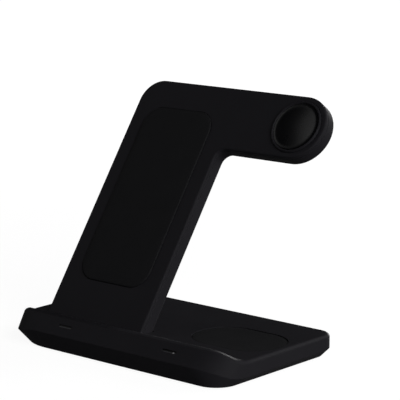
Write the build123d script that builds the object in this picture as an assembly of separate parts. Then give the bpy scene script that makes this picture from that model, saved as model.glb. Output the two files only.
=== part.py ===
from build123d import *
import os
from math import cos, radians, sin, sqrt, tan

# Three in one wireless charger: a low base with a front lip, a leaning back plate and a side arm.
# Millimetres, +Z up, origin on the table under the middle of the base, front towards -Y.

# Base, outside
base_width = 144.0
base_depth = 84.4
deck_height = 11.3          # flat top behind the lip
lip_rise = 4.5              # top of the front lip above the deck
lip_setback = 7.0           # front edge of the lip behind the nose
lip_top = 4.0               # flat top of the lip, front to back
nose_height = 8.8           # front edge where the slope meets the undercut
left_lean = 3.2             # the left end leans inwards by this at lip height
nose_left_corner = 35.5     # front corners of the slope, at the table
nose_right_corner = 26.0
lip_left_corner = 19.0      # front corners at lip height
lip_right_corner = 18.0
back_corner = 8.0
ramp_length = 16.0          # the lip runs down to the deck over this, round the right corner
ramp_turn = 45.0            # direction of the ramp, from the base's length
ramp_lead = 0.4             # middle of the ramp before the lip's square corner
rim_radius = 1.8            # rounded edge all round the top
lip_inner_radius = 2.0
seat_radius = 3.0           # hollow where the seat meets the deck

# Base, underneath
shell_lift = 0.5            # bottom of the housing above the table
foot_left_inset = 5.0       # foot outline inside the base's ends
foot_right_inset = 3.4
foot_front_inset = 2.5
foot_back_inset = 3.3
foot_left_corner = 26.0     # front corners of the foot
foot_right_corner = 11.0
foot_back_corner = 6.0
side_flare = 1.0            # undercut of the sides and back, sideways per upwards
hull_left_corner = 20.0     # front corners of the undercut at lip height
hull_right_corner = 38.0

# Base, inside
deck_wall = 2.2
base_wall = 2.5             # walls at the housing's lower edge
cavity_corner = 10.0
fit_gap = 0.2               # clearance of pieces let into one another
post_diameter = 6.0
post_inset = 5.0            # screw posts inside the cavity's corners
left_post_inset = 4.2       # left front post inside the left wall, beside the plate
screw_diameter = 2.4
screw_head_diameter = 4.4
screw_head_height = 1.0
screw_reach = 4.0           # screw's end above the bottom plate
screw_gap = 0.1             # clearance round a screw's shank
bottom_thickness = 1.8
bottom_recess = 0.2         # underside of the bottom plate above the housing's edge
mat_inset = 2.0             # foot mat inside the bottom plate
ballast_thickness = 1.5
ballast_side_gap = 13.5     # ballast inside the cavity, each side
ballast_lead = 2.0          # ballast in front of the bracket
ballast_back_gap = 1.8      # ballast's end in front of the board

# Back plate and arm
lean_angle = 55.4           # plate and arm from the table
plate_side_gap = 16.0       # plate's left edge inside the base's left end
plate_width = 62.0
plate_length = 132.3        # from the deck to the top edge, up the plate
plate_setback = 1.2         # plate's face behind the foot of the seat
plate_corner = 12.0
stand_wall = 1.5
cover_thickness = 2.0
cover_edge_radius = 1.1
parting_groove = 0.25       # bevel on each side of the joint between cover and rear shell
back_edge_radius = 2.2
arm_height = 32.8
arm_length = 56.85          # from the plate's right edge to the arm's round end
arm_root_radius = 5.0

# Charging disc on the arm
puck_gap = 1.2              # disc's ring inside the arm's walls
puck_proud = 0.8            # ring stands out of the arm's face by this
puck_wall = 1.4
puck_bevel = 0.5
puck_cap_drop = 0.3         # cap's edge below the ring
puck_cap_thickness = 2.5
puck_dish = 0.9             # depth of the hollow in the cap
puck_coil_thickness = 2.0
puck_coil_bore = 11.0
puck_magnet_diameter = 10.0
puck_ferrite_thickness = 1.0
arm_board_length = 16.0
arm_board_width = 14.0
arm_board_thickness = 1.0
arm_board_gap = 2.0         # board's end from the disc

# Coils behind the plate
coil_diameter = 46.0
coil_bore = 20.0
coil_thickness = 0.8
upper_coil_drop = 37.0      # upper coil's centre below the plate's top edge
coil_pitch = 34.0           # lower coil's centre below the upper one's
ferrite_thickness = 0.6
ferrite_margin = 2.0        # ferrite sheet beyond the coils
ferrite_corner = 4.0
carrier_margin = 2.0        # carrier beyond the ferrite
carrier_thickness = 1.0
bracket_width = 40.0
bracket_thickness = 1.8
bracket_reach = 72.0        # riser up the plate, from the deck
bracket_back_gap = 6.0      # flange's end in front of the ballast's
bracket_screw_spread = 28.0
bracket_screw_inset = 9.0   # flange's screws in front of its end
riser_screw_drop = 8.0      # riser's screws below the coil carrier
bracket_screw_floor = 0.6   # bottom plate left under the flange's screws
riser_screw_bite = 0.9      # riser's screws into the rear shell

# Pads
front_pad_side_gap = 9.0    # pad inside the plate's edges
front_pad_top_gap = 15.0    # pad below the plate's top edge
front_pad_foot = 22.0       # pad's lower edge up the plate, from the deck
front_pad_corner = 10.0
front_pad_thickness = 1.6
front_pad_proud = 1.0
front_pad_bevel = 0.6
seat_strip_length = 58.0
seat_strip_width = 3.4
seat_strip_corner = 1.1
seat_strip_thickness = 0.8
seat_strip_proud = 0.25
earbud_side_gap = 27.0      # pad's centre inside the base's right end
earbud_front_gap = 10.8     # pad's front edge behind the foot of the seat
earbud_pad_width = 48.0
earbud_pad_depth = 34.0
earbud_pad_thickness = 0.8
earbud_pad_drop = 0.3       # pad's top below the deck
earbud_coil_diameter = 34.0
earbud_coil_bore = 15.0
earbud_coil_thickness = 1.2
earbud_ferrite_thickness = 0.6
earbud_ferrite_margin = 1.0

# Lights in the front slope
light_left_gap = 43.8       # lights' centres inside the base's ends
light_right_gap = 34.2
light_length = 8.4
light_height = 1.0
light_share = 0.56          # place up the slope, from nose to lip
light_recess = 0.4
light_pipe_length = 5.2
led_board_length = 11.0
led_board_width = 3.6
led_board_thickness = 1.0
led_length = 3.0
led_width = 1.4
led_height = 0.7

# Board and inlet
board_width = 54.0
board_depth = 20.0
board_thickness = 1.2
board_lift = 1.5            # board above the bottom plate
board_back_gap = 1.0        # board's rear edge inside the cavity wall
boss_diameter = 4.0
boss_inset = 2.6            # bosses inside the board's edges
chip_size = 6.0
chip_height = 0.9
chip_x = 12.0
inductor_size = 6.0
inductor_corner = 1.2
inductor_headroom = 1.0     # inductors' tops below the deck's inside
inductor_pitch = 8.0
inductor_x = -10.0
inlet_x = 0.0
inlet_width = 9.0
inlet_height = 3.2
inlet_length = 8.4
inlet_wall = 0.35
inlet_recess = 0.6          # mouth of the inlet inside the rear wall
inlet_back = 1.4            # closed rear end of the inlet
tongue_width = 6.7
tongue_height = 0.7
tongue_recess = 0.8         # tongue's tip inside the mouth

touching = 0.01             # faces nearer than this meet

# Places that follow from the sizes
nose_y = -base_depth / 2
back_y = base_depth / 2
right_x = base_width / 2
lip_front_y = nose_y + lip_setback
lip_inner_y = lip_front_y + lip_top
lip_height = deck_height + lip_rise
slope_rise = lip_height - nose_height
lean_sin = sin(radians(lean_angle))
lean_cos = cos(radians(lean_angle))
seat_foot_y = lip_inner_y + lip_rise * tan(radians(lean_angle))
plate_foot_y = seat_foot_y + plate_setback
bottom_under = shell_lift + bottom_recess
bottom_top = bottom_under + bottom_thickness
cavity_top = deck_height - deck_wall
foot_left = foot_left_inset - right_x
foot_right = right_x - foot_right_inset
foot_front = nose_y + foot_front_inset
foot_back = back_y - foot_back_inset
cavity_left = foot_left + base_wall
cavity_right = foot_right - base_wall
cavity_front = foot_front + base_wall
cavity_back = foot_back - base_wall
cavity_left_corner = foot_left_corner - base_wall
ballast_top = bottom_top + ballast_thickness
board_under = bottom_top + board_lift
board_top = board_under + board_thickness
board_y = cavity_back - board_back_gap - board_depth / 2
board_front = board_y - board_depth / 2
plate_left = plate_side_gap - right_x
plate_right = plate_left + plate_width
plate_centre_x = plate_left + plate_width / 2
root_length = deck_height / lean_sin
arm_radius = arm_height / 2
arm_x = plate_right + arm_length - arm_radius
arm_at = plate_length - arm_radius
ramp_cos = cos(radians(ramp_turn))
ramp_sin = sin(radians(ramp_turn))
ramp_middle = right_x * ramp_cos + lip_front_y * ramp_sin - ramp_lead
ramp_start = ramp_middle - ramp_length / 2
ramp_end = ramp_middle + ramp_length / 2
earbud_x = right_x - earbud_side_gap
earbud_y = seat_foot_y + earbud_front_gap + earbud_pad_depth / 2
light_left_x = light_left_gap - right_x
light_right_x = right_x - light_right_gap
cover_back = -cover_thickness
upper_coil_low = cover_back - coil_thickness
lower_coil_low = upper_coil_low - coil_thickness
ferrite_front = lower_coil_low
carrier_front = ferrite_front - ferrite_thickness
riser_front = carrier_front - carrier_thickness
stand_floor = riser_front - bracket_thickness
plate_back = stand_floor - stand_wall
upper_coil_at = plate_length - upper_coil_drop
lower_coil_at = upper_coil_at - coil_pitch
riser_screw_at = lower_coil_at - coil_diameter / 2 - ferrite_margin - carrier_margin - riser_screw_drop
root_z = ballast_top + bracket_thickness
post_gap = cavity_corner - (cavity_corner - post_inset) * sqrt(0.5)
screw_places = (
    (cavity_left + left_post_inset, cavity_front + cavity_left_corner),
    (cavity_right - post_gap, cavity_front + post_gap),
    (cavity_left + post_gap, cavity_back - post_gap),
    (cavity_right - post_gap, cavity_back - post_gap),
)
inlet_z = board_top + inlet_height / 2
inlet_mouth_y = back_y - inlet_recess
bracket_screw_low = bottom_under + bracket_screw_floor
riser_screw_low = stand_floor - riser_screw_bite
front_pad_low = front_pad_proud - front_pad_thickness
puck_diameter = arm_height - 2 * (stand_wall + puck_gap)
puck_bore = puck_diameter - 2 * puck_wall
puck_inner = puck_bore - 2 * fit_gap
puck_cap_top = puck_proud - puck_cap_drop
puck_cap_low = puck_cap_top - puck_cap_thickness
puck_coil_low = puck_cap_low - puck_coil_thickness
puck_ferrite_low = puck_coil_low - puck_ferrite_thickness
reach = base_width + plate_length

# Frames: x along the base, then up the plate, the seat or the slope, then out of its face
stand = Plane((0, plate_foot_y, deck_height), (1, 0, 0), (0, -lean_sin, lean_cos)).location
seat = Plane((0, seat_foot_y, deck_height), (1, 0, 0), (0, lean_cos, lean_sin)).location
slope_out = Vector(0, -slope_rise, lip_setback).normalized()
light_y = nose_y + light_share * lip_setback
light_z = nose_height + light_share * slope_rise
light_depth = light_recess + light_pipe_length
led_y = light_y - light_depth * slope_out.Y
led_top = light_z - light_depth * slope_out.Z + light_height / 2 * slope_out.Y - fit_gap
led_board_top = led_top - led_height
led_board_under = led_board_top - led_board_thickness
riser_foot_at = (ballast_top - deck_height - riser_front * lean_cos) / lean_sin
flange_front = plate_foot_y - riser_front * lean_sin + riser_foot_at * lean_cos
ballast_back = board_front - ballast_back_gap
flange_back = ballast_back - bracket_back_gap
flange_screw_y = flange_back - bracket_screw_inset
bracket_screw_xs = [plate_centre_x + side * bracket_screw_spread / 2 for side in (-1, 1)]
inlet = Plane((inlet_x, inlet_mouth_y, inlet_z), (1, 0, 0), (0, 1, 0)).location
inlet_floor = inlet_back - inlet_length


def light_frame(x):
    return Plane((x, light_y, light_z), (1, 0, 0), slope_out).location


def outline(left, right, front, back, left_radius, right_radius, back_radius):
    face = Pos((left + right) / 2, (front + back) / 2) * Rectangle(right - left, back - front)
    face = fillet(face.vertices().group_by(Axis.Y)[-1], back_radius)
    face = fillet(face.vertices().sort_by_distance((left, front, 0))[0], left_radius)
    return fillet(face.vertices().sort_by_distance((right, front, 0))[0], right_radius)


def cavity_outline(inset):
    return outline(
        cavity_left + inset,
        cavity_right - inset,
        cavity_front + inset,
        cavity_back - inset,
        cavity_left_corner - inset,
        cavity_corner - inset,
        cavity_corner - inset,
    )


def prism(face, low, high):
    return extrude(Pos(0, 0, low) * face, high - low)


def disc(diameter, low, high, x=0.0, y=0.0):
    return prism(Pos(x, y) * Circle(diameter / 2), low, high)


def ring(outer, inner, low, high, x=0.0, y=0.0):
    return disc(outer, low, high, x, y) - disc(inner, low, high, x, y)


def block(width, depth, low, high, x=0.0, y=0.0):
    return prism(Pos(x, y) * Rectangle(width, depth), low, high)


def rounded(width, depth, radius, low, high, x=0.0, y=0.0):
    return prism(Pos(x, y) * RectangleRounded(width, depth, radius), low, high)


def above(low, solid):
    return solid - block(reach, reach, low - reach, low)


# Base housing: slope and walls above, undercut hull below
def base_form():
    slope_run = lip_setback / slope_rise
    table_front = nose_y - nose_height * slope_run
    upper = loft(
        [
            outline(
                -right_x,
                right_x,
                table_front,
                back_y,
                nose_left_corner,
                nose_right_corner,
                back_corner,
            ),
            Pos(0, 0, lip_height)
            * outline(
                left_lean - right_x,
                right_x,
                lip_front_y,
                back_y,
                lip_left_corner,
                lip_right_corner,
                back_corner,
            ),
        ],
        ruled=True,
    )
    rise = lip_height - shell_lift
    flare = side_flare * rise
    hull = loft(
        [
            Pos(0, 0, shell_lift)
            * outline(
                foot_left,
                foot_right,
                foot_front,
                foot_back,
                foot_left_corner,
                foot_right_corner,
                foot_back_corner,
            ),
            Pos(0, 0, lip_height)
            * outline(
                foot_left - flare,
                foot_right + flare,
                foot_front - foot_front_inset * rise / (nose_height - shell_lift),
                foot_back + flare,
                hull_left_corner,
                hull_right_corner,
                foot_back_corner + flare,
            ),
        ],
        ruled=True,
    )
    return upper & hull


def deck_cut():
    over = lip_height + reach
    face = make_face(
        Polyline(
            (lip_inner_y - reach, lip_height),
            (lip_inner_y, lip_height),
            (seat_foot_y, deck_height),
            (seat_foot_y + reach, deck_height),
            (seat_foot_y + reach, over),
            (lip_inner_y - reach, over),
            close=True,
        )
    )
    face = fillet(face.vertices().sort_by_distance((lip_inner_y, lip_height, 0))[0], lip_inner_radius)
    face = fillet(face.vertices().sort_by_distance((seat_foot_y, deck_height, 0))[0], seat_radius)
    behind_lip = extrude(Plane.YZ * face, reach, both=True)
    ramp = Spline((ramp_start, lip_height), (ramp_end, deck_height), tangents=[(1, 0), (1, 0)])
    rest = Polyline(
        (ramp_end, deck_height),
        (reach, deck_height),
        (reach, over),
        (ramp_start, over),
        (ramp_start, lip_height),
    )
    along_ramp = Plane((0, 0, 0), (ramp_cos, ramp_sin, 0), (ramp_sin, -ramp_cos, 0))
    beside_lip = extrude(along_ramp * make_face([ramp, rest]), reach, both=True)
    return behind_lip + beside_lip


def rim_edges(form, cut):
    # Edges between what the cut left as the top and the walls below it
    top = [face for face in form.faces() if cut.distance_to(face.center()) < touching]
    edges = [edge for face in top for edge in face.edges()]
    return [edge for edge in edges if sum(edge.is_same(other) for other in edges) == 1]


def base_shell():
    cut = deck_cut()
    form = (base_form() - cut).solid()
    form = form.fillet(rim_radius, rim_edges(form, cut))
    form = form - prism(cavity_outline(0), -shell_lift, cavity_top)
    pilot_top = bottom_top + screw_reach + screw_gap
    for x, y in screw_places:
        form = form + disc(post_diameter, bottom_top, cavity_top + deck_wall / 2, x, y)
        form = form - screw_hole(bottom_top, pilot_top, x, y)
    slot_width = plate_width + 2 * fit_gap
    plate_slot = block(slot_width, 2 * root_length, plate_back - fit_gap, fit_gap, plate_centre_x)
    form = form - stand * plate_slot
    for x in (light_left_x, light_right_x):
        slit = SlotOverall(light_length + 2 * fit_gap, light_height + 2 * fit_gap)
        form = form - light_frame(x) * prism(slit, -light_depth - lip_rise, lip_rise)
    strip_low = seat_strip_proud - seat_strip_thickness
    form = form - seat * seat_strip_block(strip_low, lip_rise, fit_gap)
    pad_low = deck_height - earbud_pad_drop - earbud_pad_thickness
    form = form - prism(earbud_pad_outline(fit_gap), pad_low, deck_height + rim_radius)
    mouth = SlotOverall(inlet_width + 2 * fit_gap, inlet_height + 2 * fit_gap)
    return form - inlet * prism(mouth, -inlet_length, inlet_length)


def earbud_pad_outline(gap):
    return Pos(earbud_x, earbud_y) * SlotOverall(earbud_pad_width + 2 * gap, earbud_pad_depth + 2 * gap)


def seat_strip_block(low, high, gap):
    middle = lip_rise / lean_cos / 2
    length = seat_strip_length + 2 * gap
    width = seat_strip_width + 2 * gap
    return rounded(length, width, seat_strip_corner, low, high, plate_centre_x, -middle)


def screw(low, shank_low, shank_high, x, y):
    shank = disc(screw_diameter, shank_low, shank_high, x, y)
    return shank + disc(screw_head_diameter, low, low + screw_head_height, x, y)


def screw_hole(low, high, x, y):
    return disc(screw_diameter + 2 * screw_gap, low, high, x, y)


# Under the base
def bottom_plate():
    plate = prism(cavity_outline(fit_gap), bottom_under, bottom_top)
    head_top = bottom_under + screw_head_height
    for x, y in screw_places:
        plate -= screw_hole(bottom_under, bottom_top, x, y)
        plate -= disc(screw_head_diameter + 2 * screw_gap, bottom_under, head_top, x, y)
    for x in bracket_screw_xs:
        plate -= screw_hole(bracket_screw_low, bottom_top, x, flange_screw_y)
    boss_x = board_width / 2 - boss_inset
    boss_y = board_depth / 2 - boss_inset
    for x in (inlet_x - boss_x, inlet_x + boss_x):
        for y in (board_y - boss_y, board_y + boss_y):
            plate += disc(boss_diameter, bottom_top, board_under, x, y)
    for x in (light_left_x, light_right_x):
        plate += disc(led_board_width, bottom_top, led_board_under, x, led_y)
    return plate


def foot_mat():
    return prism(cavity_outline(fit_gap + mat_inset), 0, bottom_under)


def bottom_screws():
    top = bottom_top + screw_reach
    head_top = bottom_under + screw_head_height
    return [screw(bottom_under, head_top, top, x, y) for x, y in screw_places]


def ballast_plate():
    front = flange_front - ballast_lead
    left = cavity_left + ballast_side_gap
    right = cavity_right - ballast_side_gap
    middle = (front + ballast_back) / 2
    plate = block(right - left, ballast_back - front, bottom_top, ballast_top, (left + right) / 2, middle)
    for x in bracket_screw_xs:
        plate -= screw_hole(bottom_top, ballast_top, x, flange_screw_y)
    return plate


# Board, inlet and lights
def power_inductors():
    top = cavity_top - inductor_headroom
    return [
        rounded(inductor_size, inductor_size, inductor_corner, board_top, top, x, board_y)
        for x in (inductor_x, inductor_x - inductor_pitch)
    ]


def usb_c_shell():
    body = prism(SlotOverall(inlet_width, inlet_height), -inlet_length, 0)
    hollow = SlotOverall(inlet_width - 2 * inlet_wall, inlet_height - 2 * inlet_wall)
    return inlet * (body - prism(hollow, inlet_floor, 0))


def usb_c_tongue():
    return inlet * block(tongue_width, tongue_height, inlet_floor, -tongue_recess)


def light_pipe(x):
    return light_frame(x) * prism(SlotOverall(light_length, light_height), -light_depth, -light_recess)


def led_board(x):
    return block(led_board_length, led_board_width, led_board_under, led_board_top, x, led_y)


def led(x):
    return block(led_length, led_width, led_board_top, led_top, x, led_y)


# Back plate and arm, in the plate's frame
def stand_outline():
    length = plate_length + root_length
    face = Pos(plate_centre_x, plate_length - length / 2) * Rectangle(plate_width, length)
    bar_width = arm_x - plate_centre_x
    face += Pos(plate_centre_x + bar_width / 2, arm_at) * Rectangle(bar_width, arm_height)
    face += Pos(arm_x, arm_at) * Circle(arm_radius)
    armpit = (plate_right, plate_length - arm_height, 0)
    face = fillet(face.vertices().sort_by_distance(armpit)[0], arm_root_radius)
    return fillet(face.vertices().sort_by_distance((plate_left, plate_length, 0))[0], plate_corner)


def stand_rear_shell():
    face = stand_outline()
    body = prism(face, plate_back, cover_back)
    body = fillet(body.edges().group_by(Axis.Z)[0], back_edge_radius)
    body = chamfer(body.edges().group_by(Axis.Z)[-1], parting_groove)
    body -= prism(offset(face, -stand_wall), stand_floor, cover_back)
    for x in bracket_screw_xs:
        body -= screw_hole(riser_screw_low, stand_floor, x, riser_screw_at)
    return above(root_z, stand * body)


def front_pad_block(low, high, gap):
    width = plate_width - 2 * front_pad_side_gap + 2 * gap
    top = plate_length - front_pad_top_gap
    length = top - front_pad_foot + 2 * gap
    middle = (top + front_pad_foot) / 2
    return rounded(width, length, front_pad_corner + gap, low, high, plate_centre_x, middle)


def stand_front_cover():
    body = prism(stand_outline(), cover_back, 0)
    body = fillet(body.edges().group_by(Axis.Z)[-1], cover_edge_radius)
    body = chamfer(body.edges().group_by(Axis.Z)[0], parting_groove)
    body -= front_pad_block(front_pad_low, 0, fit_gap)
    body -= disc(puck_diameter + 2 * fit_gap, cover_back, 0, arm_x, arm_at)
    return above(root_z, stand * body)


def stand_front_pad():
    pad = front_pad_block(front_pad_low, front_pad_proud, 0)
    return stand * chamfer(pad.edges().group_by(Axis.Z)[-1], front_pad_bevel)


def stand_bracket():
    length = bracket_reach + root_length
    middle = bracket_reach - length / 2
    riser = block(bracket_width, length, stand_floor, riser_front, plate_centre_x, middle)
    for x in bracket_screw_xs:
        riser -= screw_hole(stand_floor, riser_front, x, riser_screw_at)
    flange_y = (flange_front + flange_back) / 2
    flange = block(bracket_width, flange_back - flange_front, ballast_top, root_z, plate_centre_x, flange_y)
    body = above(ballast_top, stand * riser) + flange
    for x in bracket_screw_xs:
        body -= screw_hole(ballast_top, root_z, x, flange_screw_y)
    return body


def bracket_screws():
    flange = [screw(root_z, bracket_screw_low, root_z, x, flange_screw_y) for x in bracket_screw_xs]
    riser = [screw(riser_front, riser_screw_low, riser_front, x, riser_screw_at) for x in bracket_screw_xs]
    return flange + [stand * one for one in riser]


def plate_coil(low, at):
    return stand * ring(coil_diameter, coil_bore, low, low + coil_thickness, plate_centre_x, at)


def plate_sheet(margin, low, high):
    width = coil_diameter + 2 * margin
    length = upper_coil_at - lower_coil_at + width
    return stand * rounded(
        width, length, ferrite_corner, low, high, plate_centre_x, (upper_coil_at + lower_coil_at) / 2
    )


# Charging disc, in the plate's frame
def puck_ring():
    body = ring(puck_diameter, puck_bore, stand_floor, puck_proud, arm_x, arm_at)
    return stand * chamfer(body.edges().group_by(Axis.Z)[-1], puck_bevel)


def puck_cap():
    body = disc(puck_inner, puck_cap_low, puck_cap_top, arm_x, arm_at)
    dish_reach = puck_inner / 2 - puck_wall
    dish_radius = (dish_reach**2 + puck_dish**2) / (2 * puck_dish)
    return stand * (body - Pos(arm_x, arm_at, puck_cap_top - puck_dish + dish_radius) * Sphere(dish_radius))


def arm_board():
    middle = arm_x - puck_diameter / 2 - arm_board_gap - arm_board_length / 2
    top = stand_floor + arm_board_thickness
    return stand * block(arm_board_length, arm_board_width, stand_floor, top, middle, arm_at)


earbud_ferrite_top = cavity_top - earbud_coil_thickness
earbud_ferrite_low = earbud_ferrite_top - earbud_ferrite_thickness
earbud_ferrite_size = earbud_coil_diameter + 2 * earbud_ferrite_margin
earbud_pad_top = deck_height - earbud_pad_drop
chip_top = board_top + chip_height

nodes = {
    "base_shell": base_shell(),
    "base_bottom_plate": bottom_plate(),
    "foot_mat": foot_mat(),
    "bottom_screws": bottom_screws(),
    "ballast_plate": ballast_plate(),
    "main_board": block(board_width, board_depth, board_under, board_top, inlet_x, board_y),
    "controller_chip": block(chip_size, chip_size, board_top, chip_top, chip_x, board_y),
    "power_inductors": power_inductors(),
    "usb_c_shell": usb_c_shell(),
    "usb_c_tongue": usb_c_tongue(),
    "earbud_coil": ring(
        earbud_coil_diameter, earbud_coil_bore, earbud_ferrite_top, cavity_top, earbud_x, earbud_y
    ),
    "earbud_ferrite": disc(earbud_ferrite_size, earbud_ferrite_low, earbud_ferrite_top, earbud_x, earbud_y),
    "earbud_pad": prism(earbud_pad_outline(0), earbud_pad_top - earbud_pad_thickness, earbud_pad_top),
    "seat_strip": seat * seat_strip_block(seat_strip_proud - seat_strip_thickness, seat_strip_proud, 0),
    "left_light_pipe": light_pipe(light_left_x),
    "right_light_pipe": light_pipe(light_right_x),
    "left_led_board": led_board(light_left_x),
    "right_led_board": led_board(light_right_x),
    "left_led": led(light_left_x),
    "right_led": led(light_right_x),
    "stand_bracket": stand_bracket(),
    "bracket_screws": bracket_screws(),
    "stand_rear_shell": stand_rear_shell(),
    "stand_front_cover": stand_front_cover(),
    "stand_front_pad": stand_front_pad(),
    "upper_coil": plate_coil(upper_coil_low, upper_coil_at),
    "lower_coil": plate_coil(lower_coil_low, lower_coil_at),
    "coil_ferrite": plate_sheet(ferrite_margin, carrier_front, ferrite_front),
    "coil_carrier": plate_sheet(ferrite_margin + carrier_margin, riser_front, carrier_front),
    "puck_ring": puck_ring(),
    "puck_cap": puck_cap(),
    "puck_coil": stand * ring(puck_inner, puck_coil_bore, puck_coil_low, puck_cap_low, arm_x, arm_at),
    "puck_magnet": stand * disc(puck_magnet_diameter, puck_coil_low, puck_cap_low, arm_x, arm_at),
    "puck_ferrite": stand * disc(puck_inner, puck_ferrite_low, puck_coil_low, arm_x, arm_at),
    "puck_base": stand * disc(puck_inner, stand_floor, puck_ferrite_low, arm_x, arm_at),
    "arm_board": arm_board(),
}

os.makedirs("parts", exist_ok=True)
for name, shape in nodes.items():
    solids = shape if isinstance(shape, list) else [shape]
    export_step(Compound([solid for piece in solids for solid in piece.solids()]), f"parts/{name}.step")
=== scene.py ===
import bpy
from math import pi, radians
from mathutils import Matrix, Vector


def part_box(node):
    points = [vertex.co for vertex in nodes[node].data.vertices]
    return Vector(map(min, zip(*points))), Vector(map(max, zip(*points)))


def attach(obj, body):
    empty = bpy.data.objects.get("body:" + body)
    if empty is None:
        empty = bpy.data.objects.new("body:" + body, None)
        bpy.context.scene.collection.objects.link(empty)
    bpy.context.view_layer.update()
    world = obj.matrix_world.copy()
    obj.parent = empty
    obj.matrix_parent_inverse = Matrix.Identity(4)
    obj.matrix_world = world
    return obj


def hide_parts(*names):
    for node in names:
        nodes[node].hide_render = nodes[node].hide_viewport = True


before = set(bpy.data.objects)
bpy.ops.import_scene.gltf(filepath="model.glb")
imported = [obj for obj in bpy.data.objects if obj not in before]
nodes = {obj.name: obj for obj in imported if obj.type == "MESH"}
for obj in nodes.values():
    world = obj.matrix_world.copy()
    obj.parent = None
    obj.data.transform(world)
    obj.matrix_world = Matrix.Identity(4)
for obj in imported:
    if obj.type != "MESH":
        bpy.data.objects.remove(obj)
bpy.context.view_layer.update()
print("frame loaded:", len(nodes), "nodes")

stand = {"lean": 55.4}  # degrees of the plate from the table, and the seat stands square to it
alongPlate = Matrix.Rotation(radians(stand["lean"]), 4, "X")
alongSeat = Matrix.Rotation(radians(stand["lean"]) - pi / 2, 4, "X")
level = Matrix.Identity(4)


def middleOf(node, turned):  # a frame at the middle of a solid, turned as it stands
    low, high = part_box(node)
    return Matrix.Translation((low + high) / 2) @ turned


def linear(hexColour):  # sRGB hex to the linear colour that the sockets take
    channels = [int(hexColour[i:i + 2], 16) / 255 for i in (1, 3, 5)]
    return [c / 12.92 if c <= 0.04045 else ((c + 0.055) / 1.055) ** 2.4 for c in channels] + [1.0]


white = linear("#ffffff")
black = linear("#000000")


def perMetre(millimetres):  # texture scale of a pattern that repeats about every so many millimetres
    return 1000.0 / millimetres


def addNode(tree, kind, inputs=None, links=None, **settings):
    node = tree.nodes.new(kind)
    for name, value in settings.items():
        setattr(node, name, value)
    for name, value in (inputs or {}).items():
        node.inputs[name].default_value = value
    for name, source in (links or {}).items():
        tree.links.new(source, node.inputs[name])
    return node


def newMaterial(name, **constants):  # a material with its shader set, and the object's own coordinates
    material = bpy.data.materials.new(name)
    material.use_nodes = True
    tree = material.node_tree
    shader = tree.nodes["Principled BSDF"]
    for socket, value in constants.items():
        shader.inputs[socket.replace("_", " ")].default_value = value
    place = addNode(tree, "ShaderNodeTexCoord").outputs["Object"]
    return material, tree, shader, place


def mottle(tree, shader, place, colours, roughness, patchMm):  # slow drift of tone and gloss
    patches = addNode(tree, "ShaderNodeTexNoise", {"Scale": perMetre(patchMm), "Detail": 3.0},
                      {"Vector": place})
    tone = addNode(tree, "ShaderNodeMix", {"A": linear(colours[0]), "B": linear(colours[1])},
                   {"Factor": patches.outputs["Fac"]}, data_type="RGBA")
    gloss = addNode(tree, "ShaderNodeMapRange", {"To Min": roughness[0], "To Max": roughness[1]},
                    {"Value": patches.outputs["Fac"]})
    tree.links.new(tone.outputs["Result"], shader.inputs["Base Color"])
    tree.links.new(gloss.outputs["Result"], shader.inputs["Roughness"])
    return tone.outputs["Result"]


def relief(tree, shader, height, depthMm, strength):  # a height pattern felt as bump
    bump = addNode(tree, "ShaderNodeBump", {"Strength": strength, "Distance": depthMm / 1000},
                   {"Height": height})
    tree.links.new(bump.outputs["Normal"], shader.inputs["Normal"])


def grain(tree, shader, place, grainMm, depthMm, strength):  # fine moulded, cast or sintered texture
    grit = addNode(tree, "ShaderNodeTexNoise", {"Scale": perMetre(grainMm), "Detail": 2.0},
                   {"Vector": place})
    relief(tree, shader, grit.outputs["Fac"], depthMm, strength)


def patched(tree, shader, tone, colour, mask):  # another colour over the tone where a mask is 1
    mixed = addNode(tree, "ShaderNodeMix", {"B": linear(colour)}, {"Factor": mask, "A": tone},
                    data_type="RGBA")
    tree.links.new(mixed.outputs["Result"], shader.inputs["Base Color"])


def speckle(tree, shader, tone, place, colour, spacingMm, size):  # sparse small specks
    cells = addNode(tree, "ShaderNodeTexVoronoi", {"Scale": perMetre(spacingMm)}, {"Vector": place})
    speck = addNode(tree, "ShaderNodeMath", {1: size}, {0: cells.outputs["Distance"]},
                    operation="LESS_THAN")
    patched(tree, shader, tone, colour, speck.outputs[0])


# ABS moulded in a spark-eroded tool: a cold near-black, dry, with a gloss that drifts a little
def mouldedAbs():
    material, tree, shader, place = newMaterial("mouldedBlackAbs", IOR=1.53, Specular_IOR_Level=0.12)
    mottle(tree, shader, place, ("#201f23", "#252428"), roughness=(0.62, 0.72), patchMm=14)
    # the real grit is about 0.1 mm, drawn coarser so that it shows
    grain(tree, shader, place, grainMm=0.7, depthMm=0.02, strength=0.35)
    return material


# ABS from a plain steel tool, under the base: duller, with faint flow streaks from the gate
def undersideAbs():
    material, tree, shader, place = newMaterial("plainBlackAbs", IOR=1.53, Specular_IOR_Level=0.2)
    mottle(tree, shader, place, ("#1c1b1e", "#232225"), roughness=(0.66, 0.76), patchMm=22)
    streaks = addNode(tree, "ShaderNodeTexWave",
                      {"Scale": perMetre(30), "Distortion": 6.0, "Detail": 2.0},
                      {"Vector": place}, bands_direction="DIAGONAL")
    relief(tree, shader, streaks.outputs["Fac"], depthMm=0.02, strength=0.3)
    return material


# Glass-filled nylon inside: dark grey, dry, with pale fibre ends
def filledNylon():
    material, tree, shader, place = newMaterial("glassFilledNylon", IOR=1.53, Specular_IOR_Level=0.3)
    tone = mottle(tree, shader, place, ("#2c2c2e", "#37373a"), roughness=(0.55, 0.68), patchMm=8)
    speckle(tree, shader, tone, place, "#4b4b4e", spacingMm=0.9, size=0.12)
    grain(tree, shader, place, grainMm=0.4, depthMm=0.02, strength=0.3)
    return material


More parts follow.
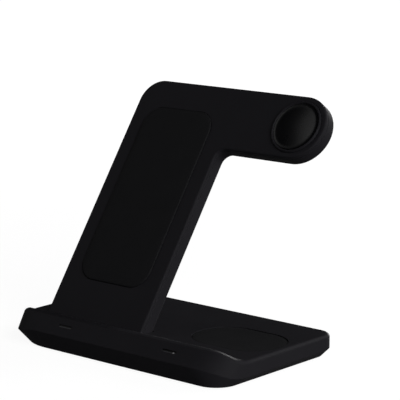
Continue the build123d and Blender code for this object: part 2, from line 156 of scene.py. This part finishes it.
# Polycarbonate moulded in a satin tool: deeper black than the housing, with a broad soft highlight
def satinPolycarbonate():
    material, tree, shader, place = newMaterial("satinPolycarbonate", IOR=1.585, Specular_IOR_Level=0.25)
    mottle(tree, shader, place, ("#0a0a0c", "#0d0d0f"), roughness=(0.24, 0.32), patchMm=10)
    # the real satin is finer than 0.1 mm, drawn coarser so that it shows
    grain(tree, shader, place, grainMm=0.8, depthMm=0.004, strength=0.12)
    return material


# Silicone cast in a blasted mould: soft, dead matt, with a little lint held on it
def castSilicone():
    material, tree, shader, place = newMaterial("castBlackSilicone", IOR=1.41, Specular_IOR_Level=0.2)
    tone = mottle(tree, shader, place, ("#1a1a1c", "#202022"), roughness=(0.74, 0.84), patchMm=9)
    speckle(tree, shader, tone, place, "#2c2c2e", spacingMm=4.5, size=0.03)
    grain(tree, shader, place, grainMm=0.5, depthMm=0.03, strength=0.4)
    return material


# Rubber for the foot: dry and grey black, with a coarse grip
def footRubber():
    material, tree, shader, place = newMaterial("vulcanisedRubber", IOR=1.52, Specular_IOR_Level=0.2)
    tone = mottle(tree, shader, place, ("#19191a", "#212122"), roughness=(0.82, 0.94), patchMm=12)
    speckle(tree, shader, tone, place, "#2f2f30", spacingMm=3.0, size=0.05)
    grain(tree, shader, place, grainMm=1.2, depthMm=0.05, strength=0.5)
    return material


# Zinc-plated sheet: bright grey metal, each crystal of the plating a shade of its own
def zincPlatedSteel():
    material, tree, shader, place = newMaterial("zincPlatedSteel", Metallic=1.0)
    crystals = addNode(tree, "ShaderNodeTexVoronoi", {"Scale": perMetre(3.5)}, {"Vector": place})
    mottle(tree, shader, crystals.outputs["Position"], ("#b4b7bb", "#cbced1"),
           roughness=(0.28, 0.44), patchMm=4)
    grain(tree, shader, place, grainMm=0.6, depthMm=0.01, strength=0.2)
    return material


# Stainless sheet drawn over a die: fine scratches run the way that a plug goes in
def drawnStainless():
    material, tree, shader, place = newMaterial("drawnStainless", Metallic=1.0)
    drawn = addNode(tree, "ShaderNodeMapping", {"Scale": (1.0, 0.05, 1.0)}, {"Vector": place})
    along = drawn.outputs["Vector"]
    mottle(tree, shader, along, ("#a3a5a8", "#c3c5c7"), roughness=(0.22, 0.36), patchMm=0.3)
    grain(tree, shader, along, grainMm=0.15, depthMm=0.005, strength=0.3)
    return material


contactRow = {  # gold contacts across the tongue, in metres
    "node": "usb_c_tongue", "pitch": 0.0005, "width": 0.00026, "fromTip": (0.0004, 0.0040),
}


# Black polymer tongue with a row of gold-plated contacts on each face
def inletPolymer(contacts):
    material, tree, shader, place = newMaterial("inletPolymer", IOR=1.58, Specular_IOR_Level=0.3)
    tone = mottle(tree, shader, place, ("#121213", "#191919"), roughness=(0.40, 0.52), patchMm=2)
    axes = addNode(tree, "ShaderNodeSeparateXYZ", None, {"Vector": place})
    step = addNode(tree, "ShaderNodeMath", {1: contacts["pitch"] / 2}, {0: axes.outputs["X"]},
                   operation="PINGPONG")
    row = addNode(tree, "ShaderNodeMath", {1: contacts["width"] / 2}, {0: step.outputs[0]},
                  operation="LESS_THAN")
    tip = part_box(contacts["node"])[1].y
    near, far = contacts["fromTip"]
    inside = addNode(tree, "ShaderNodeMath", {1: tip - (near + far) / 2, 2: (far - near) / 2},
                     {0: axes.outputs["Y"]}, operation="COMPARE")
    gold = addNode(tree, "ShaderNodeMath", None, {0: row.outputs[0], 1: inside.outputs[0]},
                   operation="MULTIPLY")
    patched(tree, shader, tone, "#c79a45", gold.outputs[0])
    tree.links.new(gold.outputs[0], shader.inputs["Metallic"])
    return material


winding = {  # radians of the wave for each unit of length, and relief as a share of the wire
    "wavePhase": 20.0, "depth": 1 / 3,
}


# Enamelled copper wire wound flat: red-brown turns under a clear varnish
def enamelledCopper(name, centre, wireMm):
    material, tree, shader, place = newMaterial(name, Metallic=1.0, Coat_Weight=0.5, Coat_Roughness=0.15)
    mottle(tree, shader, place, ("#94502b", "#b86c3f"), roughness=(0.26, 0.38), patchMm=5)
    back = centre.inverted()
    fromCentre = addNode(tree, "ShaderNodeMapping",
                         {"Location": back.to_translation(), "Rotation": back.to_euler()},
                         {"Vector": place})
    # one ring stands for about six turns of the wire, drawn coarser so that the winding shows
    turns = addNode(tree, "ShaderNodeTexWave", {"Scale": perMetre(wireMm) / winding["wavePhase"]},
                    {"Vector": fromCentre.outputs["Vector"]}, wave_type="RINGS", rings_direction="Z")
    relief(tree, shader, turns.outputs["Fac"], depthMm=wireMm * winding["depth"], strength=0.9)
    return material


# Ferrite pressed and sintered: dark slate grey, dry and finely pitted
def sinteredFerrite():
    material, tree, shader, place = newMaterial("sinteredFerrite", IOR=2.0, Specular_IOR_Level=0.3)
    tone = mottle(tree, shader, place, ("#343436", "#414144"), roughness=(0.58, 0.74), patchMm=4)
    speckle(tree, shader, tone, place, "#242426", spacingMm=1.2, size=0.16)
    grain(tree, shader, place, grainMm=0.35, depthMm=0.02, strength=0.4)
    return material


# Fibreglass board under green solder mask: the copper tracks show as paler lines
def solderMask():
    material, tree, shader, place = newMaterial("solderMaskBoard", IOR=1.55, Specular_IOR_Level=0.4)
    tone = mottle(tree, shader, place, ("#0d3a22", "#11452a"), roughness=(0.30, 0.40), patchMm=6)
    tracks = addNode(tree, "ShaderNodeTexBrick",
                     {"Scale": perMetre(8), "Color1": black, "Color2": black, "Mortar": white,
                      "Mortar Size": 0.03}, {"Vector": place})
    patched(tree, shader, tone, "#2a6b40", tracks.outputs["Color"])
    relief(tree, shader, tracks.outputs["Fac"], depthMm=0.03, strength=0.5)
    return material


# Epoxy moulding compound on the chip: dull charcoal with pale filler grains
def chipResin():
    material, tree, shader, place = newMaterial("epoxyMouldingResin", IOR=1.55, Specular_IOR_Level=0.3)
    tone = mottle(tree, shader, place, ("#1b1b1c", "#242425"), roughness=(0.50, 0.62), patchMm=2)
    speckle(tree, shader, tone, place, "#3a3a3b", spacingMm=0.4, size=0.12)
    grain(tree, shader, place, grainMm=0.2, depthMm=0.01, strength=0.3)
    return material


# Nickel plate on the magnet: warm bright metal with a slight orange peel
def nickelPlate():
    material, tree, shader, place = newMaterial("nickelPlate", Metallic=1.0)
    mottle(tree, shader, place, ("#b3ada2", "#c9c3b7"), roughness=(0.14, 0.24), patchMm=3)
    grain(tree, shader, place, grainMm=0.8, depthMm=0.006, strength=0.25)
    return material


leftSlit = {  # the painted shade, a black mask, fades in below the middle of the slit, measured up the slope
    "node": "left_light_pipe", "up": Vector((0, 0.7071, 0.7071)), "mask": (-0.0003, 0.0),
}
rightSlit = {**leftSlit, "node": "right_light_pipe"}
# a painted bright spot on the right diffuser: emission near its right end, sizes in metres, and its glow
# strength
paintedGlowSpot = {"fromEnd": 0.0017, "below": 0.0005, "radius": 0.0008, "glow": 0.14}


# Smoked acrylic in the front slits: a dark diffuser, painted black above as the shade under the slit's
# upper edge, with a small painted bright spot of emission near the right end of the right one
def smokedAcrylic(name, slit, spot=None):
    material, tree, shader, place = newMaterial(name, IOR=1.49, Specular_IOR_Level=0.2)
    tone = mottle(tree, shader, place, ("#3c3c40", "#444448"), roughness=(0.28, 0.36), patchMm=2)
    grain(tree, shader, place, grainMm=0.9, depthMm=0.004, strength=0.15)
    low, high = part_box(slit["node"])
    middle = Vector((0, low.y, high.z)).dot(slit["up"])
    # painted shade: black over the upper half of the diffuser, standing for the shadow under the slit's
    # upper edge
    rise = addNode(tree, "ShaderNodeVectorMath", {1: slit["up"]}, {0: place}, operation="DOT_PRODUCT")
    paintedSlitShade = addNode(tree, "ShaderNodeMapRange",
                     {"From Min": middle + slit["mask"][0], "From Max": middle + slit["mask"][1]},
                     {"Value": rise.outputs["Value"]})
    patched(tree, shader, tone, "#030304", paintedSlitShade.outputs["Result"])
    # painted bright spot: emission on the diffuser near its right end, while the lamp behind it has no
    # emission
    if spot:
        centre = (high.x - spot["fromEnd"], low.y, high.z - spot["below"])
        apart = addNode(tree, "ShaderNodeVectorMath", {1: centre}, {0: place}, operation="DISTANCE")
        glow = addNode(tree, "ShaderNodeMapRange",
                       {"From Max": spot["radius"], "To Min": spot["glow"], "To Max": 0.0},
                       {"Value": apart.outputs["Value"]}, interpolation_type="SMOOTHSTEP")
        shader.inputs["Emission Color"].default_value = white
        tree.links.new(glow.outputs["Result"], shader.inputs["Emission Strength"])
    return material


# Phosphor resin in the lamps: opaque yellow with a waxy shine
def phosphorResin():
    material, tree, shader, place = newMaterial("phosphorResin", IOR=1.53)
    mottle(tree, shader, place, ("#d2b04a", "#e4c969"), roughness=(0.30, 0.42), patchMm=0.8)
    grain(tree, shader, place, grainMm=0.15, depthMm=0.005, strength=0.3)
    return material


housing = mouldedAbs()
zinc = zincPlatedSteel()
ferrite = sinteredFerrite()
board = solderMask()
nylon = filledNylon()
silicone = castSilicone()
rubber = footRubber()
satin = satinPolycarbonate()
phosphor = phosphorResin()
finishes = {
    "base_shell": housing, "stand_rear_shell": housing, "stand_front_cover": housing,
    "puck_ring": housing, "base_bottom_plate": undersideAbs(),
    "coil_carrier": nylon, "puck_base": nylon, "puck_cap": satin,
    "earbud_pad": silicone, "seat_strip": silicone, "stand_front_pad": silicone, "foot_mat": rubber,
    "bottom_screws": zinc, "bracket_screws": zinc, "ballast_plate": zinc, "stand_bracket": zinc,
    "usb_c_shell": drawnStainless(), "usb_c_tongue": inletPolymer(contactRow),
    "earbud_coil": enamelledCopper("earbudCoilWire", middleOf("earbud_coil", level), wireMm=0.8),
    "upper_coil": enamelledCopper("upperCoilWire", middleOf("upper_coil", alongPlate), wireMm=1.0),
    "lower_coil": enamelledCopper("lowerCoilWire", middleOf("lower_coil", alongPlate), wireMm=1.0),
    "puck_coil": enamelledCopper("discCoilWire", middleOf("puck_coil", alongPlate), wireMm=0.6),
    "earbud_ferrite": ferrite, "coil_ferrite": ferrite, "puck_ferrite": ferrite,
    "power_inductors": ferrite, "controller_chip": chipResin(), "puck_magnet": nickelPlate(),
    "main_board": board, "arm_board": board, "left_led_board": board, "right_led_board": board,
    "left_light_pipe": smokedAcrylic("smokedAcrylic", leftSlit), "left_led": phosphor,
    "right_light_pipe": smokedAcrylic("paintedGlowSmokedAcrylic", rightSlit, paintedGlowSpot), "right_led": phosphor,
}
for name, node in nodes.items():
    node.data.materials.clear()
    node.data.materials.append(finishes[name])
print("materials set on", len(finishes), "nodes")

meshing = {  # metres, degrees, and the share of a normal that makes a face square to an axis
    "mergeWithin": 0.00005, "smoothAngle": 40, "squareOn": 0.9,
}


def selectWhere(piece, test):  # selects the faces that pass a test, for the next edit
    bpy.ops.object.mode_set(mode="EDIT")
    bpy.ops.mesh.select_mode(type="FACE")
    bpy.ops.mesh.select_all(action="DESELECT")
    bpy.ops.object.mode_set(mode="OBJECT")
    for face in piece.data.polygons:
        face.select = test(face)
    bpy.ops.object.mode_set(mode="EDIT")


def selectCorner(piece, x, y):  # selects the vertex nearest to a corner of the outline
    bpy.ops.object.mode_set(mode="EDIT")
    bpy.ops.mesh.select_mode(type="VERT")
    bpy.ops.mesh.select_all(action="DESELECT")
    bpy.ops.object.mode_set(mode="OBJECT")
    nearest = min(piece.data.vertices, key=lambda v: (v.co.x - x) ** 2 + (v.co.y - y) ** 2)
    nearest.select = True
    bpy.ops.object.mode_set(mode="EDIT")


def thicken(thickness):  # turns the flat face in edit mode into a closed plate
    bpy.ops.mesh.select_all(action="SELECT")
    bpy.ops.mesh.remove_doubles(threshold=meshing["mergeWithin"])
    bpy.ops.mesh.extrude_region_move(TRANSFORM_OT_translate={"value": (0, 0, thickness)})
    bpy.ops.mesh.select_all(action="SELECT")
    bpy.ops.mesh.normals_make_consistent(inside=False)


def startSlab(name, slab):  # a flat plate with rounded corners about its middle
    width, depth = slab["size"]
    bpy.ops.object.select_all(action="DESELECT")
    bpy.ops.mesh.primitive_plane_add(size=1, location=(0, 0, -slab["below"]))
    piece = bpy.context.object
    piece.name = name
    piece.scale = (width, depth, 1)
    bpy.ops.object.transform_apply(location=True, rotation=True, scale=True)
    for (x, y), radius in zip(((-1, -1), (1, -1), (1, 1), (-1, 1)), slab["corners"]):
        selectCorner(piece, x * width / 2, y * depth / 2)
        bpy.ops.mesh.bevel(offset=radius, segments=slab["cornerSteps"], affect="VERTICES")
    thicken(slab["thickness"])
    return piece


def selectFace(piece, direction):  # selects the widest face that looks one way along z
    bpy.ops.object.mode_set(mode="OBJECT")
    facing = [face for face in piece.data.polygons if face.normal.z * direction > meshing["squareOn"]]
    widest = max(facing, key=lambda face: face.area).index
    selectWhere(piece, lambda face: face.index == widest)


def crownTop(piece, slab):  # softens the upper edge, then raises or sinks the top towards the middle
    selectFace(piece, 1)
    bpy.ops.mesh.region_to_loop()
    bpy.ops.mesh.bevel(offset=slab["edge"], segments=slab["edgeSteps"], affect="EDGES")
    selectFace(piece, 1)
    for inset, rise in slab["crown"]:
        bpy.ops.mesh.inset(thickness=inset, depth=rise)


def finishPiece(piece, place, material, node):  # shading, place, finish, what it replaces
    bpy.ops.object.mode_set(mode="OBJECT")
    bpy.ops.object.shade_smooth_by_angle(angle=radians(meshing["smoothAngle"]))
    piece.matrix_world = place
    bpy.ops.object.transform_apply(location=True, rotation=True, scale=True)
    piece.data.materials.clear()
    piece.data.materials.append(material)
    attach(piece, "root")
    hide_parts(node)
    print("piece made:", piece.name, len(piece.data.polygons), "faces")


supportPad = {  # on the plate, crowned a little towards the middle
    "size": (0.044, 0.0953), "corners": (0.010, 0.010, 0.010, 0.010), "cornerSteps": 10,
    "below": 0.0008, "thickness": 0.0014, "edge": 0.0006, "edgeSteps": 4,
    "crown": ((0.002, 0.00008), (0.003, 0.00007), (0.003, 0.00005)),
}


def addSupportPad(settings):
    pad = startSlab("support_pad", settings)
    crownTop(pad, settings)
    finishPiece(pad, middleOf("stand_front_pad", alongPlate), silicone, "stand_front_pad")


addSupportPad(supportPad)

seatGrip = {  # in the trough, square to the plate
    "size": (0.058, 0.0034), "corners": (0.0011, 0.0011, 0.0011, 0.0011), "cornerSteps": 5,
    "below": 0.0004, "thickness": 0.0007, "edge": 0.0003, "edgeSteps": 3,
    "crown": ((0.0006, 0.00006), (0.0004, 0.00004)),
}


def addSeatGrip(settings):
    strip = startSlab("seat_grip", settings)
    crownTop(strip, settings)
    finishPiece(strip, middleOf("seat_strip", alongSeat), silicone, "seat_strip")


addSeatGrip(seatGrip)

deckPad = {  # let into the deck, a little hollow towards the middle
    "size": (0.048, 0.034), "corners": (0.01699, 0.01699, 0.01699, 0.01699), "cornerSteps": 16,
    "below": 0.0004, "thickness": 0.0008, "edge": 0.00025, "edgeSteps": 3,
    "crown": ((0.0022, -0.00008), (0.004, -0.00008), (0.005, -0.00004)),
}


def addDeckPad(settings):
    pad = startSlab("deck_pad", settings)
    crownTop(pad, settings)
    finishPiece(pad, middleOf("earbud_pad", level), silicone, "earbud_pad")


addDeckPad(deckPad)

discFace = {  # hollowed like a shallow dish inside a flat rim
    "radius": 0.0121, "sides": 96, "below": 0.00125, "thickness": 0.0025,
    "edge": 0.00015, "edgeSteps": 2, "rim": 0.0012, "dish": 0.0009, "dishSteps": 10,
}


def addDiscFace(settings):
    bpy.ops.object.select_all(action="DESELECT")
    bpy.ops.mesh.primitive_circle_add(vertices=settings["sides"], radius=settings["radius"],
                                      fill_type="NGON", location=(0, 0, -settings["below"]))
    face = bpy.context.object
    face.name = "disc_cap"
    bpy.ops.object.transform_apply(location=True, rotation=True, scale=True)
    bpy.ops.object.mode_set(mode="EDIT")
    thicken(settings["thickness"])
    reach = settings["radius"] - settings["edge"] - settings["rim"]
    rings = settings["dishSteps"] + 1
    step = reach / rings
    hollow = [settings["dish"] * (1 - (ring * step / reach) ** 2) for ring in range(rings, 0, -1)]
    drops = [(step, outer - inner) for outer, inner in zip(hollow, hollow[1:])]
    crownTop(face, {**settings, "crown": [(settings["rim"], 0.0)] + drops})
    finishPiece(face, middleOf("puck_cap", alongPlate), satin, "puck_cap")


addDiscFace(discFace)

footMat = {  # ribbed below, with a plain border
    "size": (0.1262, 0.0692), "corners": (0.0213, 0.0078, 0.0078, 0.0078), "cornerSteps": 10,
    "below": 0.00035, "thickness": 0.0007, "border": 0.003, "grooves": 22, "grooveDepth": 0.0003,
}


def addFootMat(settings):
    mat = startSlab("foot_pad", settings)
    selectFace(mat, -1)
    bpy.ops.mesh.inset(thickness=settings["border"], depth=0)
    field = settings["size"][1] - 2 * settings["border"]
    cuts = 2 * settings["grooves"] + 1
    strip = field / cuts  # grooves and ribs of one width

    def inField(face):
        return face.normal.z < -meshing["squareOn"] and abs(face.center.y) < field / 2

    def inGroove(face):
        return inField(face) and int((face.center.y + field / 2) / strip) % 2 == 1

    for cut in range(1, cuts):
        bpy.ops.mesh.bisect(plane_co=(0, cut * strip - field / 2, 0), plane_no=(0, 1, 0))
        selectWhere(mat, inField)
    selectWhere(mat, inGroove)
    bpy.ops.mesh.extrude_region_move(TRANSFORM_OT_translate={"value": (0, 0, settings["grooveDepth"])})
    finishPiece(mat, middleOf("foot_mat", level), rubber, "foot_mat")


addFootMat(footMat)
print("pads made")

cameraView = {  # metres, degrees, and millimetres for lens and sensor
    "place": (0.586966, -0.652728, 0.243519), "azimuth": 40.816, "elevation": 11.065,
    "lens": 169.87, "sensor": 36, "sightEnds": 50,
}


def addCamera(view):
    bpy.ops.object.camera_add(location=view["place"])
    camera = bpy.context.object
    camera.rotation_euler = (radians(90 - view["elevation"]), 0, radians(view["azimuth"]))
    camera.data.sensor_width = view["sensor"]
    camera.data.lens = view["lens"]
    camera.data.clip_end = view["sightEnds"]
    bpy.context.scene.camera = camera


addCamera(cameraView)
print("camera set")

studio = {
    "floorSize": 12.0,
    "floorDrop": 0.0001,
    "floorColour": "#7c7c7c",
    "floorGlow": (0.93, 1.0),  # as the camera sees it, near the object and far away
    "glowReach": (0.25, 0.8),  # metres from the middle between which the glow rises
    "floorMirrored": 0.1,  # share of the glow that gloss and glass see
    "ambient": 0.02,
    "paperFades": (-0.1, 0.03),  # heights of view between which the backdrop ends in a mirrored view
    "ceiling": 0.0,
    "lamps": {
        "key": {"place": (1.42, -0.38, 0.68), "size": (1.0, 1.0), "power": 15},
        "fill": {"place": (-1.6, -0.45, 0.9), "size": (1.2, 1.2), "power": 2.5},
        "rear": {"place": (0.6, 1.5, 0.8), "size": (1.0, 1.0), "power": 10},
        # a strip below the height of the deck, for the back of the plate alone
        "low": {"place": (-0.5, 1.6, 0.012), "size": (0.6, 0.02), "power": 14},
    },
}


def mirroredRays(tree, path):  # 1 for what is seen by gloss or through glass
    rays = addNode(tree, "ShaderNodeMath", None,
                   {0: path.outputs["Is Glossy Ray"], 1: path.outputs["Is Transmission Ray"]},
                   operation="MAXIMUM")
    return rays.outputs[0]


# Pale paper on the floor: matt, white to the camera, and it keeps the shadow
def addFloor(settings):
    bpy.ops.object.select_all(action="DESELECT")
    bpy.ops.mesh.primitive_plane_add(size=settings["floorSize"], location=(0, 0, -settings["floorDrop"]))
    floor = bpy.context.object
    floor.name = "studio_floor"
    material, tree, shader, place = newMaterial(
        "paleFloorPaper", Roughness=1.0, Specular_IOR_Level=0.0,
        Base_Color=linear(settings["floorColour"]), Emission_Color=white)
    path = addNode(tree, "ShaderNodeLightPath")
    dimmed = addNode(tree, "ShaderNodeMath", {1: settings["floorMirrored"]},
                     {0: mirroredRays(tree, path)}, operation="MULTIPLY")
    seen = addNode(tree, "ShaderNodeMath", None,
                   {0: path.outputs["Is Camera Ray"], 1: dimmed.outputs[0]}, operation="MAXIMUM")
    away = addNode(tree, "ShaderNodeVectorMath", None, {"Vector": place}, operation="LENGTH")
    rising = addNode(tree, "ShaderNodeMapRange",
                     {"From Min": settings["glowReach"][0], "From Max": settings["glowReach"][1],
                      "To Min": settings["floorGlow"][0], "To Max": settings["floorGlow"][1]},
                     {"Value": away.outputs["Value"]}, interpolation_type="SMOOTHSTEP")
    glow = addNode(tree, "ShaderNodeMath", None, {0: seen.outputs[0], 1: rising.outputs["Result"]},
                   operation="MULTIPLY")
    tree.links.new(glow.outputs[0], shader.inputs["Emission Strength"])
    floor.data.materials.append(material)


# White to the camera, paper and a dark ceiling to mirrors, and a little ambient light on the object
def addWorld(settings):
    world = bpy.data.worlds.new("softStudio")
    world.use_nodes = True
    bpy.context.scene.world = world
    tree = world.node_tree
    background = tree.nodes["Background"]
    background.inputs["Color"].default_value = white
    path = addNode(tree, "ShaderNodeLightPath")
    towards = addNode(tree, "ShaderNodeTexCoord")
    height = addNode(tree, "ShaderNodeSeparateXYZ", None, {"Vector": towards.outputs["Generated"]})
    paper = addNode(tree, "ShaderNodeMapRange",
                    {"From Min": settings["paperFades"][0], "From Max": settings["paperFades"][1],
                     "To Min": 1.0, "To Max": settings["ceiling"]},
                    {"Value": height.outputs["Z"]}, interpolation_type="SMOOTHSTEP")
    lit = addNode(tree, "ShaderNodeMix", {"A": settings["ambient"]},
                  {"Factor": mirroredRays(tree, path), "B": paper.outputs["Result"]})
    strength = addNode(tree, "ShaderNodeMix", {"B": 1.0},
                       {"Factor": path.outputs["Is Camera Ray"], "A": lit.outputs["Result"]})
    tree.links.new(strength.outputs["Result"], background.inputs["Strength"])


def addLamp(name, lamp):  # a soft rectangle that looks at the middle of the object's footprint
    bpy.ops.object.light_add(type="AREA", location=lamp["place"])
    light = bpy.context.object
    light.name = name
    light.data.shape = "RECTANGLE"
    light.data.size, light.data.size_y = lamp["size"]
    light.data.energy = lamp["power"]
    aim = -light.location
    light.rotation_euler = aim.to_track_quat("-Z", "Y").to_euler()


addFloor(studio)
addWorld(studio)
for lampName, lamp in studio["lamps"].items():
    addLamp(lampName, lamp)
bpy.context.scene.view_settings.view_transform = "Standard"
print("studio set")
